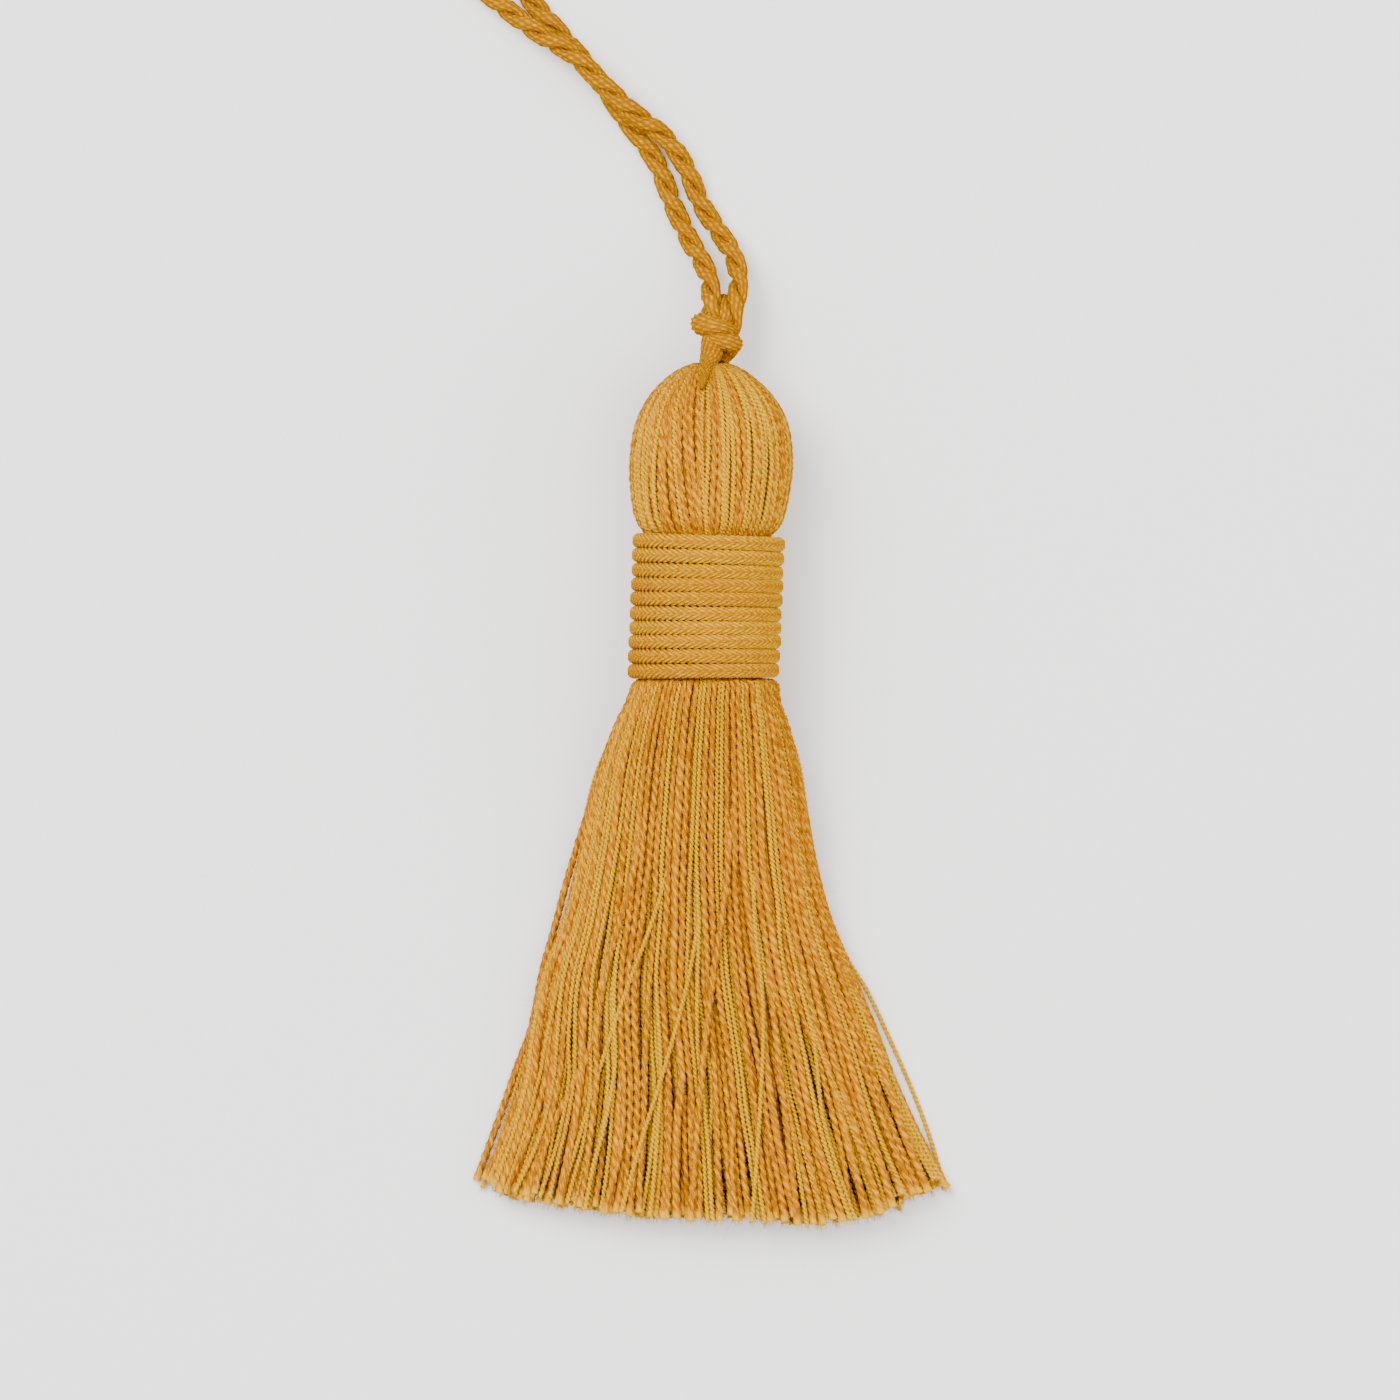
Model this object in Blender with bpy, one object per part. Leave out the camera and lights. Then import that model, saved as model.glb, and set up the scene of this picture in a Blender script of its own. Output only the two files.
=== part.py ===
"""A silk tassel lying on a flat surface: yarn head, cord-bound neck, fanned skirt, knot and hanging loop.

X runs across the tassel, +Y from the skirt up to the loop, and Z up from the surface at z = 0.
Tables and sizes are in millimetres, and MM turns them into metres.
"""

import math

import bmesh
import bpy
import numpy as np

MM = 0.001
SHARP_OVER = 50.0

# Head: the folded yarns, drawn in at the neck. The strands start from a square grid of cells that is
# drawn into the round neck, so that the grid's rim has one edge for each yarn column of the head
ROWS_OF_STRANDS = 13
COLUMNS = 4 * ROWS_OF_STRANDS
FIRST_CORNER = -math.pi / 4
HEAD_APEX = (0.2, 40.7, 7.3)
NECK_RADIUS = 5.9
NECK_TOP = 23.55
NECK_BOTTOM = 9.4
ROOT_DEPTH = 0.5
AXIS_HEIGHT = 7.95
YARN_RIDGE = 0.3

# Outline of the head from its crown to the neck, with the height of its axis
HEAD_ROWS = [
    # y, left, right, axis height
    (40.45, -2.0, 2.2, 7.35),
    (39.7, -3.6, 3.7, 7.5),
    (38.5, -5.1, 5.2, 7.65),
    (37.1, -6.3, 6.5, 7.8),
    (35.3, -7.3, 7.6, 7.9),
    (33.2, -7.9, 8.2, 7.95),
    (30.3, -8.2, 8.4, 7.95),
    (27.8, -8.1, 8.1, 7.95),
    (25.8, -7.8, 7.7, 7.95),
    (24.45, -7.3, 7.2, 7.95),
]

# Binding: ten turns of braided cord round the neck
TURNS = 10
BINDING_CORD = 1.44
BINDING_RADIUS = 7.65
BINDING_BORE = 6.2
BINDING_TOP = 23.3
BINDING_BOTTOM = 9.15
BINDING_SIDES = 28
RIDGE_SHARES = (0.04, 0.32, 0.68)
TILT_TOP = 0.034
TILT_BOTTOM = -0.012
AXIS_LEAN = 0.041
AXIS_X_TOP = -0.1

# Skirt: sections of the strand bundle from the neck to the cut ends
SKIRT_SECTIONS = [
    # y, left, right, middle height, rise above it, drop below it, squareness below
    (7.3, -8.2, 6.9, 7.6, 7.3, 6.8, 2.0),
    (-3.5, -13.1, 9.8, 4.3, 7.2, 4.3, 2.6),
    (-15.0, -16.6, 12.2, 1.7, 7.4, 1.7, 4.0),
    (-28.5, -20.2, 19.0, 0.7, 6.3, 0.7, 8.0),
    (-44.0, -25.2, 25.3, 0.5, 5.6, 0.5, 8.0),
]
CUT_LINE = [
    # x, y of the cut ends
    (-24.0, -41.4),
    (-21.0, -43.1),
    (-15.5, -43.9),
    (-6.0, -45.1),
    (6.0, -45.5),
    (10.2, -45.9),
    (16.2, -45.0),
    (19.0, -43.9),
    (24.0, -42.1),
]
CUT_UNEVENNESS = 0.9
GOLDEN_SHARE = 0.618034
STRAND_WIDTH = 0.5
STRAND_PITCH = 0.93
ROOT_GAP = 0.46
SETTLE_ROUNDS = 100
SETTLE_STEPS = 8

# Knot: two wraps of the doubled cord and the shank that goes into the head
SHANK = [(0.25, 41.05, 7.15), (0.3, 42.4, 6.9), (0.55, 44.2, 6.5)]
SHANK_RADIUS = 1.3
SHANK_SIDES = 10
WRAP_SIDES = 8
WRAP_STEPS = 18
WRAPS = [
    # centre x, y, z, ring radius, cord radius, lean about Z and about X in degrees
    (0.3, 44.1, 6.5, 1.25, 1.05, -12.0, 8.0),
    (1.1, 42.2, 6.75, 1.15, 0.92, 14.0, -6.0),
]

# Hanging cord: one cord from the knot round the loop and back
CORD_WIDE = 1.02
CORD_NARROW = 0.84
CORD_LAY = 6.4
CORD_SIDES = 8
STEPS_A_LAY = 8
STEPS_A_SPAN = 12
CORD_ROUTE = [
    # x, y, z
    (0.05, 45.95, 6.35),
    (0.1, 47.1, 5.65),
    (0.0, 48.5, 4.7),
    (-0.4, 49.9, 3.7),
    (-1.1, 51.3, 2.75),
    (-1.95, 52.75, 1.95),
    (-2.8, 54.5, 1.35),
    (-3.7, 56.5, 1.1),
    (-4.4, 58.4, 1.1),
    (-5.2, 60.4, 1.1),
    (-6.6, 62.6, 1.1),
    (-8.6, 65.2, 1.1),
    (-11.1, 68.9, 1.1),
    (-13.8, 72.2, 1.1),
    (-16.3, 75.1, 1.1),
    (-18.7, 78.0, 1.1),
    (-20.4, 81.4, 1.1),
    (-21.7, 86.5, 1.1),
    (-23.9, 92.3, 1.1),
    (-26.9, 97.4, 1.1),
    (-32.3, 100.6, 1.1),
    (-38.6, 100.4, 1.1),
    (-42.8, 96.6, 1.1),
    (-43.4, 91.0, 1.1),
    (-40.3, 86.3, 1.1),
    (-35.2, 83.7, 1.1),
    (-29.6, 82.3, 1.1),
    (-25.0, 79.9, 1.2),
    (-21.4, 76.9, 1.8),
    (-17.5, 73.9, 2.7),
    (-13.6, 71.4, 3.4),
    (-11.1, 68.9, 3.45),
    (-8.0, 66.0, 3.2),
    (-4.6, 63.3, 2.3),
    (-2.4, 60.2, 1.45),
    (-1.0, 56.8, 1.15),
    (0.6, 54.2, 1.45),
    (1.85, 52.3, 2.2),
    (2.6, 50.6, 3.2),
    (2.85, 48.9, 4.3),
    (2.7, 47.2, 5.35),
    (2.35, 45.6, 6.2),
]


def metres(point):
    return tuple(MM * value for value in point)


def material(name, colour, roughness):
    made = bpy.data.materials.new(name)
    made.use_nodes = True
    shader = made.node_tree.nodes["Principled BSDF"]
    shader.inputs["Base Color"].default_value = (*colour, 1.0)
    shader.inputs["Roughness"].default_value = roughness
    shader.inputs["Metallic"].default_value = 0.0
    return made


def add_object(name, bm, finish):
    """The mesh as a named object, its faces out and its round sides smooth."""
    bmesh.ops.recalc_face_normals(bm, faces=bm.faces)
    mesh = bpy.data.meshes.new(name)
    bm.to_mesh(mesh)
    bm.free()
    mesh.shade_smooth()
    mesh.set_sharp_from_angle(angle=math.radians(SHARP_OVER))
    mesh.materials.append(finish)
    made = bpy.data.objects.new(name, mesh)
    bpy.context.scene.collection.objects.link(made)
    return made


def add_ring(bm, points):
    return [bm.verts.new(metres(point)) for point in points]


def bridge(bm, first, second):
    """Quads between two rings of equal length."""
    for i in range(len(first)):
        j = (i + 1) % len(first)
        bm.faces.new((first[i], first[j], second[j], second[i]))


# Head and skirt


def neck_centre(y):
    """X of the tassel's axis, which leans a little in the neck."""
    return AXIS_X_TOP - AXIS_LEAN * (BINDING_TOP - y)


def column_angles():
    return [FIRST_CORNER + 2 * math.pi * k / COLUMNS for k in range(COLUMNS)]


def head_ring(y, left, right, height):
    """One ring round the head, ridged by its yarns and flat where it rests on the surface."""
    middle = (left + right) / 2
    half = (right - left) / 2
    relief = YARN_RIDGE / 2 * min(1.0, half / NECK_RADIUS)
    ring = []
    for k, angle in enumerate(column_angles()):
        reach = half + relief * (-1) ** k
        z = height + reach * math.sin(angle)
        ring.append((middle + reach * math.cos(angle), y, max(z, 0.0)))
    return ring


def neck_ring(y):
    middle = neck_centre(y)
    ring = []
    for angle in column_angles():
        x = middle + NECK_RADIUS * math.cos(angle)
        ring.append((x, y, AXIS_HEIGHT + NECK_RADIUS * math.sin(angle)))
    return ring


def on_disc(across, up):
    """A point of the square from -1 to 1, carried to the unit disc ring by ring."""
    if across == 0 and up == 0:
        return 0.0, 0.0
    if abs(across) > abs(up):
        reach = across
        angle = math.pi / 4 * up / across
    else:
        reach = up
        angle = math.pi / 2 - math.pi / 4 * across / up
    return reach * math.cos(angle), reach * math.sin(angle)


def root_grid():
    """Corners of the strands' root cells on the underside of the neck, in rows from below."""
    steps = [2 * step / ROWS_OF_STRANDS - 1 for step in range(ROWS_OF_STRANDS + 1)]
    middle = neck_centre(NECK_BOTTOM)
    grid = []
    for up in steps:
        places = [on_disc(across, up) for across in steps]
        grid.append(
            [(middle + NECK_RADIUS * x, NECK_BOTTOM, AXIS_HEIGHT + NECK_RADIUS * z) for x, z in places]
        )
    return grid


def kept_inside(centres, section):
    """Strand centres brought back inside a section of the bundle."""
    _, left, right, middle, rise, drop, squareness = section
    edge = STRAND_WIDTH / 2
    half = (right - left) / 2 - edge
    across = (centres[:, 0] - (left + right) / 2) / half
    above = centres[:, 1] > middle
    height = np.where(above, rise - edge, drop - edge)
    up = (centres[:, 1] - middle) / height
    power = np.where(above, 2.0, squareness)
    reach = (np.abs(across) ** power + np.abs(up) ** power) ** (1 / power)
    shrink = 1 / np.maximum(reach, 1.0)
    x = (left + right) / 2 + across * shrink * half
    z = middle + up * shrink * height
    return np.stack([x, z], axis=1)


def pushed_apart(centres, pitch):
    """Strand centres each moved half way off every neighbour nearer than the pitch."""
    gap = centres[:, None] - centres[None]
    distance = np.sqrt((gap**2).sum(axis=2)) + 1e-9
    short = np.clip(pitch - distance, 0, None)
    np.fill_diagonal(short, 0)
    return centres + 0.5 * (gap * (short / distance)[..., None]).sum(axis=1)


def blended(first, second, share):
    return tuple(a + (b - a) * share for a, b in zip(first, second))


def carried(centres, first, second):
    """Strand centres stretched with the bundle from one section to the next."""
    x = (centres[:, 0] - first[1]) / (first[2] - first[1])
    low = first[3] - first[5]
    z = (centres[:, 1] - low) / (first[4] + first[5])
    return np.stack(
        [
            second[1] + x * (second[2] - second[1]),
            second[3] - second[5] + z * (second[4] + second[5]),
        ],
        axis=1,
    )


def neck_section():
    """The round section that the strands' roots fill, in the form of a skirt section."""
    neck = neck_centre(NECK_BOTTOM)
    sides = (neck - NECK_RADIUS, neck + NECK_RADIUS)
    return (NECK_BOTTOM - ROOT_DEPTH, *sides, AXIS_HEIGHT, NECK_RADIUS, NECK_RADIUS, 2.0)


def settled(centres, section):
    for _ in range(SETTLE_ROUNDS):
        centres = kept_inside(pushed_apart(centres, STRAND_PITCH), section)
    return centres


def fallen(centres):
    """Strand centres let down, the lowest first, until each rests on the surface or on others."""
    rest = STRAND_WIDTH / 2
    placed = centres.copy()
    order = np.argsort(centres[:, 1])
    for place, strand in enumerate(order):
        below = placed[order[:place]]
        across = np.abs(below[:, 0] - centres[strand, 0])
        under = across < STRAND_PITCH
        tops = below[under, 1] + np.sqrt(STRAND_PITCH**2 - across[under] ** 2)
        placed[strand, 1] = max(rest, tops.max(initial=rest))
    return placed


def strand_courses(roots):
    """Centres of the strands at each section, settled as the bundle spreads and flattens."""
    first = SKIRT_SECTIONS[0]
    section = first
    centres = carried(np.array(roots), neck_section(), first)
    courses = [centres]
    for target in SKIRT_SECTIONS[1:-1]:
        start = section
        for step in range(1, SETTLE_STEPS + 1):
            following = blended(start, target, step / SETTLE_STEPS)
            centres = settled(carried(centres, section, following), following)
            section = following
        courses.append(centres)
    courses.append(fallen(carried(centres, section, SKIRT_SECTIONS[-1])))
    return courses


def cut_end(x, strand):
    """Y at which a strand is cut, a little uneven from strand to strand."""
    xs, ys = zip(*CUT_LINE)
    return float(np.interp(x, xs, ys)) + CUT_UNEVENNESS * (strand * GOLDEN_SHARE % 1.0) ** 2


def square(x, y, z):
    half = STRAND_WIDTH / 2
    corners = ((-half, -half), (half, -half), (half, half), (-half, half))
    return [(x + dx, y, z + dz) for dx, dz in corners]


def flared(ring):
    """A root ring carried to the first section, where the strands swell out below the binding."""
    section = SKIRT_SECTIONS[0]
    places = carried(np.array([(x, z) for x, _, z in ring]), neck_section(), section)
    return [(x, section[0], z) for x, z in places]


def strand_rings(corners, strand, courses):
    """The rings of one four-sided strand from its root cell to its cut end."""
    root = root_ring(corners)
    rings = [root, flared(root)]
    for k in range(1, len(SKIRT_SECTIONS) - 1):
        x, z = courses[k][strand]
        rings.append(square(x, SKIRT_SECTIONS[k][0], z))
    x_before = courses[-2][strand][0]
    x_after, z = courses[-1][strand]
    start, end = SKIRT_SECTIONS[-2][0], SKIRT_SECTIONS[-1][0]
    y = cut_end(x_after, strand)
    rings.append(square(x_before + (x_after - x_before) * (y - start) / (end - start), y, z))
    return rings


def root_ring(corners):
    """The inset outline of one root cell, parted from its neighbours by the root gap."""
    middle = np.mean(corners, axis=0)
    inset = 1 - ROOT_GAP * ROWS_OF_STRANDS / (2 * NECK_RADIUS)
    forward = np.array([0.0, -ROOT_DEPTH, 0.0])
    return [middle + inset * (np.array(corner) - middle) + forward for corner in corners]


def root_cells():
    """The row and column of each root cell's four corners, in order round the cell."""
    cells = []
    for row in range(ROWS_OF_STRANDS):
        for column in range(ROWS_OF_STRANDS):
            low, high = row, row + 1
            left, right = column, column + 1
            cells.append(((low, left), (low, right), (high, right), (high, left)))
    return cells


def grid_rim(verts):
    """The grid's outer corners in the order of the neck's columns."""
    n = ROWS_OF_STRANDS
    rim = [verts[row][n] for row in range(n)]
    rim += [verts[n][n - column] for column in range(n)]
    rim += [verts[n - row][0] for row in range(n)]
    rim += [verts[0][column] for column in range(n)]
    return rim


def build_head_and_skirt(finish):
    bm = bmesh.new()
    apex = bm.verts.new(metres(HEAD_APEX))
    rings = [add_ring(bm, head_ring(*row)) for row in HEAD_ROWS]
    rings.append(add_ring(bm, neck_ring(NECK_TOP)))
    for k in range(COLUMNS):
        bm.faces.new((apex, rings[0][k], rings[0][(k + 1) % COLUMNS]))
    for first, second in zip(rings, rings[1:]):
        bridge(bm, first, second)

    grid = root_grid()
    verts = [add_ring(bm, line) for line in grid]
    bridge(bm, rings[-1], grid_rim(verts))

    cells = root_cells()
    roots = [np.mean([grid[r][c] for r, c in places], axis=0)[[0, 2]] for places in cells]
    courses = strand_courses(roots)
    for strand, places in enumerate(cells):
        ring = [verts[r][c] for r, c in places]
        for points in strand_rings([grid[r][c] for r, c in places], strand, courses):
            following = add_ring(bm, points)
            bridge(bm, ring, following)
            ring = following
        bm.faces.new(ring)
    return add_object("head_and_skirt", bm, finish)


# Binding


def binding_ring(along, radius):
    """One ring of the binding, at a share of its length from the top."""
    tilt = TILT_TOP + (TILT_BOTTOM - TILT_TOP) * along
    y = BINDING_TOP + (BINDING_BOTTOM - BINDING_TOP) * along
    middle = neck_centre(y)
    ring = []
    for k in range(BINDING_SIDES):
        angle = 2 * math.pi * k / BINDING_SIDES
        across = radius * math.cos(angle)
        ring.append((middle + across, y - tilt * across, AXIS_HEIGHT + radius * math.sin(angle)))
    return ring


def build_binding(finish):
    """A sleeve with one round ridge for each turn of the cord."""
    cord = BINDING_CORD / 2
    centre_line = BINDING_RADIUS - cord
    bm = bmesh.new()
    rings = [add_ring(bm, binding_ring(0.0, BINDING_BORE))]
    for turn in range(TURNS):
        for share in RIDGE_SHARES:
            reach = cord * math.sqrt(1 - (2 * share - 1) ** 2)
            rings.append(add_ring(bm, binding_ring((turn + share) / TURNS, centre_line + reach)))
    rings.append(add_ring(bm, binding_ring(1 - RIDGE_SHARES[0] / TURNS, centre_line)))
    rings.append(add_ring(bm, binding_ring(1.0, BINDING_BORE)))
    for first, second in zip(rings, rings[1:] + rings[:1]):
        bridge(bm, first, second)
    return add_object("binding", bm, finish)


# Knot


def add_swept(bm, points, sides, reach_at):
    """A capped tube through the points, its reach given for each ring and angle."""
    points = np.array(points, float)
    ahead = np.gradient(points, axis=0)
    angles = [2 * math.pi * side / sides for side in range(sides)]
    rings = []
    for k, point in enumerate(points):
        along = ahead[k] / np.linalg.norm(ahead[k])
        side = np.cross(along, (0.0, 0.0, 1.0))
        side /= np.linalg.norm(side)
        up = np.cross(side, along)
        ring = []
        for angle in angles:
            ring.append(point + reach_at(k, angle) * (math.cos(angle) * side + math.sin(angle) * up))
        rings.append(add_ring(bm, ring))
    for first, second in zip(rings, rings[1:]):
        bridge(bm, first, second)
    bm.faces.new(rings[0])
    bm.faces.new(rings[-1])


def add_wrap(number, x, y, z, ring_radius, cord_radius, lean_z, lean_x):
    """One turn of the knot: a leaning ring of cord round the shank, joined to it by a union."""
    bpy.ops.mesh.primitive_torus_add(
        location=metres((x, y, z)),
        rotation=(math.radians(90.0 + lean_x), 0.0, math.radians(lean_z)),
        major_radius=MM * ring_radius,
        minor_radius=MM * cord_radius,
        major_segments=WRAP_STEPS,
        minor_segments=WRAP_SIDES,
    )
    wrap = bpy.context.object
    wrap.name = f"knot_wrap_{number}"
    wrap.hide_render = True
    wrap.display_type = "WIRE"
    return wrap


def build_knot(finish):
    bm = bmesh.new()
    add_swept(bm, SHANK, SHANK_SIDES, lambda ring, angle: SHANK_RADIUS)
    knot = add_object("knot", bm, finish)
    for number, row in enumerate(WRAPS):
        union = knot.modifiers.new(f"wrap_{number}", "BOOLEAN")
        union.operation = "UNION"
        union.object = add_wrap(number, *row)
    return knot


# Hanging cord


def smooth_course(points, spacing):
    """Evenly spaced points on a smooth curve through the route's points."""
    points = np.array(points, float)
    padded = np.vstack([2 * points[0] - points[1], points, 2 * points[-1] - points[-2]])
    fine = []
    for k in range(1, len(padded) - 2):
        p0, p1, p2, p3 = padded[k - 1 : k + 3]
        for t in np.linspace(0, 1, STEPS_A_SPAN, endpoint=False):
            slope = (p2 - p0) * t
            bend = (2 * p0 - 5 * p1 + 4 * p2 - p3) * t**2
            twist = (3 * p1 - p0 - 3 * p2 + p3) * t**3
            fine.append(p1 + (slope + bend + twist) / 2)
    fine = np.array(fine + [points[-1]])
    length = np.concatenate([[0], np.cumsum(np.linalg.norm(np.diff(fine, axis=0), axis=1))])
    places = np.linspace(0, length[-1], round(length[-1] / spacing) + 1)
    return np.stack([np.interp(places, length, fine[:, i]) for i in range(3)], axis=1)


def build_cord_loop(finish):
    """The two-strand cord, its section two lobes wide and turning once in each lay."""
    middle = (CORD_WIDE + CORD_NARROW) / 2
    relief = (CORD_WIDE - CORD_NARROW) / 2

    def reach_at(ring, angle):
        turned = 2 * math.pi * ring / STEPS_A_LAY
        return middle + relief * math.cos(2 * (angle + turned))

    bm = bmesh.new()
    points = smooth_course(CORD_ROUTE, CORD_LAY / STEPS_A_LAY)
    add_swept(bm, points, CORD_SIDES, reach_at)
    return add_object("cord_loop", bm, finish)


def main():
    for obj in list(bpy.data.objects):
        bpy.data.objects.remove(obj)
    yarn = material("yarn", (0.74, 0.39, 0.03), 0.6)
    braid = material("binding cord", (0.76, 0.42, 0.07), 0.7)
    rope = material("hanging cord", (0.76, 0.42, 0.07), 0.7)
    build_head_and_skirt(yarn)
    build_binding(braid)
    build_knot(rope)
    build_cord_loop(rope)


main()
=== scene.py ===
"""The looks of the silk tassel: plied yarns, braided binding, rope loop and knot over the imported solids.

X runs across the tassel, +Y from the skirt up to the loop, and Z up from the surface at z = 0.
Tables and sizes are in millimetres, and MM turns them into metres.
"""

import math

import bpy
import numpy as np
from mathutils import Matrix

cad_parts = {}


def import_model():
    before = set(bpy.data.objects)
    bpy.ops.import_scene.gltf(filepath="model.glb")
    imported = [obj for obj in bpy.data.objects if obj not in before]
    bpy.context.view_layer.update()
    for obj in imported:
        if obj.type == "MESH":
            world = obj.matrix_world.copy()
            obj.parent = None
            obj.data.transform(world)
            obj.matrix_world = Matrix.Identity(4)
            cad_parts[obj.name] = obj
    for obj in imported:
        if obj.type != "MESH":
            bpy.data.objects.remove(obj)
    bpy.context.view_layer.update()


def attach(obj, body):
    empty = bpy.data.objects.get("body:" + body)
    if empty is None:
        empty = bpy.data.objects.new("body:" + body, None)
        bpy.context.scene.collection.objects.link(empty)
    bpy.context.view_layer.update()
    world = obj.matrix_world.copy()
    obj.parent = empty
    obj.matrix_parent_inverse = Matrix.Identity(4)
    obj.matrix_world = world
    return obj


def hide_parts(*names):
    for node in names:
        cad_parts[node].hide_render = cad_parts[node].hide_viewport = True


MM = 0.001
TURN = 2 * math.pi
UPWARDS = (0.0, 0.0, 1.0)
ALONG = (0.0, 1.0, 0.0)
SEED = 11
# Triangles at which a skirt piece is closed and the next one begun
PIECE_LIMIT = 180000
# Straight steps between two given points of a smooth course
COURSE_STEPS = 12

# Camera: straight above, with a long lens, over the square that the photograph shows
VIEW_CENTRE = (-1.0, 6.9)
VIEW_WIDTH = 140.0
VIEW_LEVEL = 5.0
VIEW_DISTANCE = 2500.0
SENSOR_WIDTH = 36.0

# Kinds of yarn: the soft two-ply one and the fine, tightly twisted, shiny one. Lay is the length of one
# turn, spacing that of one ring, and cleft how far the plies lie from the middle, as a share of the radius.
SOFT = {"radius": 0.43, "lay": 2.2, "spacing": 0.3, "sides": 6, "cleft": 0.17}
SHINY = {"radius": 0.3, "lay": 1.0, "spacing": 0.2, "sides": 6, "cleft": 0.42}
KINDS = {"a": SOFT, "g": SHINY}
# Fibres run round a yarn by this much along it, and start elsewhere on each yarn and strand
FIBRE_SLANT = 0.47
YARN_SHIFT = 97.0
STRAND_SHIFT = 31.0
# Length over which a yarn pales towards its cut end
CUT_REACH = 1.1
# Least height of a yarn's middle over the surface, as a share of its radius
FLOOR_PRESS = 0.9
# Yarns that don't show are plain and have fewer rings and sides
HIDDEN_SPACING = 1.1
HIDDEN_SIDES = 5

# Head: outline from the crown down into the neck
HEAD_ROWS = [
    # y, left, right, axis height
    (40.45, -2.0, 2.2, 7.35),
    (39.7, -3.6, 3.7, 7.5),
    (38.5, -5.1, 5.2, 7.65),
    (37.1, -6.3, 6.5, 7.8),
    (35.3, -7.3, 7.6, 7.9),
    (33.2, -7.9, 8.2, 7.95),
    (30.3, -8.2, 8.4, 7.95),
    (27.8, -8.1, 8.1, 7.95),
    (25.8, -7.8, 7.7, 7.95),
    (24.45, -7.3, 7.2, 7.95),
]
NECK_ROWS = [(23.5, -6.5, 6.3, 7.95), (22.4, -6.1, 5.9, 7.95)]
# Yarns round the head from its right side over the top to the left: a is a soft one, g a shiny one
HEAD_TOP = "gaggagaagagggaggaagggaaggaaaagaaagaggaggagagg"
HEAD_UNDER = "agaaggagaagagaagggagaaggagaaggagagaaggag"
HEAD_SQUEEZE = {"a": 0.93, "g": 1.04}
# Yarns about this angle slant across the head by this much, over this spread of angles, and turn about
# this share of the way down
SLANT_ANGLE = 1.95
SLANT = -0.2
SLANT_SPREAD = 0.33
SLANT_PIVOT = 0.4
# How far each yarn of the head wanders to and fro, in radians, and in how many bends
HEAD_WANDER = 0.02
HEAD_BENDS = 5
# Depth of a yarn's middle under the outline, as a share of its radius, and how much deeper it may lie in mm
HEAD_SEAT = 0.95
HEAD_SINKING = 0.14
# Lean of the way out of the head towards the crown
HEAD_OUT_LEAN = 0.12
# Distance from the crown, and the share of its thickness that a yarn has there
HEAD_CROWDING = ([0.0, 1.5, 5.0, 9.0], [0.5, 0.66, 0.9, 1.0])
# Inner yarns of head and neck, as one plain core this deep inside the outline
CORE_DEPTH = 0.75
CORE_SIDES = 48
CORE_FLOOR = 0.4

# Neck and binding: ten turns of braided cord
NECK_RADIUS = 5.9
NECK_BOTTOM = 9.4
CORE_END = (NECK_BOTTOM + 0.4, -6.4, 5.2, 7.95)
AXIS_HEIGHT = 7.95
TURNS = 10
BINDING_CORD = 1.44
BINDING_RADIUS = 7.65
BINDING_TOP = 23.3
BINDING_BOTTOM = 9.15
TILT_TOP = 0.034
TILT_BOTTOM = -0.012
AXIS_LEAN = 0.041
AXIS_X_TOP = -0.1
BRAID_WIDTH = 1.54
BRAID_PITCH = 0.7
BRAID_RINGS = 5
BRAID_REACH = 1.7
BRAID_RELIEF = 0.19
BRAID_SIDES = 14
BRAID_SEAM = 0.55
BRAID_TINT_LENGTH = 37.0
# Share of a turn in which the cord steps to the next one
STEP_SHARE = 0.22
# How far the turns stray, and the lengths and shares of the waves in which they do
TURN_STRAYING = 0.03
TURN_WAVES = [(9.7, 1.0), (23.1, 0.7)]

# Skirt: sections of the bundle from the binding to the cut ends
SKIRT_SECTIONS = [
    # y, left, right, middle height, rise above it, drop below it, squareness below
    (8.55, -7.8, 6.85, 7.8, 6.9, 6.7, 2.0),
    (7.3, -8.2, 6.9, 7.6, 7.3, 6.8, 2.0),
    (4.9, -9.4, 7.8, 6.9, 7.3, 6.3, 2.1),
    (0.9, -10.9, 8.8, 5.6, 7.2, 5.3, 2.3),
    (-3.1, -11.9, 9.6, 4.4, 7.2, 4.3, 2.6),
    (-9.1, -13.2, 10.6, 3.0, 7.3, 2.9, 3.2),
    (-15.1, -14.7, 12.1, 1.7, 7.4, 1.7, 4.0),
    (-21.0, -16.9, 14.5, 1.2, 6.9, 1.2, 6.0),
    (-27.1, -18.2, 17.0, 0.8, 6.4, 0.8, 8.0),
    (-31.1, -18.9, 18.5, 0.7, 6.2, 0.7, 8.0),
    (-37.1, -21.0, 21.3, 0.6, 5.9, 0.6, 8.0),
    (-44.0, -24.2, 25.1, 0.5, 5.6, 0.5, 8.0),
    (-47.0, -25.7, 26.7, 0.5, 5.5, 0.5, 8.0),
]
CUT_LINE = [
    # x, y of the cut ends
    (-24.0, -41.4),
    (-21.0, -43.1),
    (-15.5, -43.9),
    (-6.0, -45.1),
    (6.0, -45.5),
    (10.2, -45.9),
    (16.2, -45.0),
    (19.0, -43.9),
    (24.0, -42.1),
]
CUT_UNEVENNESS = 0.9
# Distance down the skirt at which a yarn's place on the cut line is read
CUT_AT = 45.0
# Outermost sheet from left to right: a is a soft yarn, g a shiny one
TOP_MARKS = "aggaggaggagagaaaagaaaggaaggaaagaaggaaagaaaga"
# Sheets of yarns over each other, counted from the outside, above the bundle's middle and below it
UPPER_COUNTS = [len(TOP_MARKS), 43, 41, 38, 30, 14, 9, 5]
LOWER_COUNTS = [44, 44, 34, 28, 20, 12]
# Sheets whose yarns have their plies, because they show
UPPER_SHOWN = 3
LOWER_SHOWN = 1
# Depth of the outermost sheet inside the bundle, and of each next one under it
SHEET_TOP = 0.36
SHEET_STEP = 0.58
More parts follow.
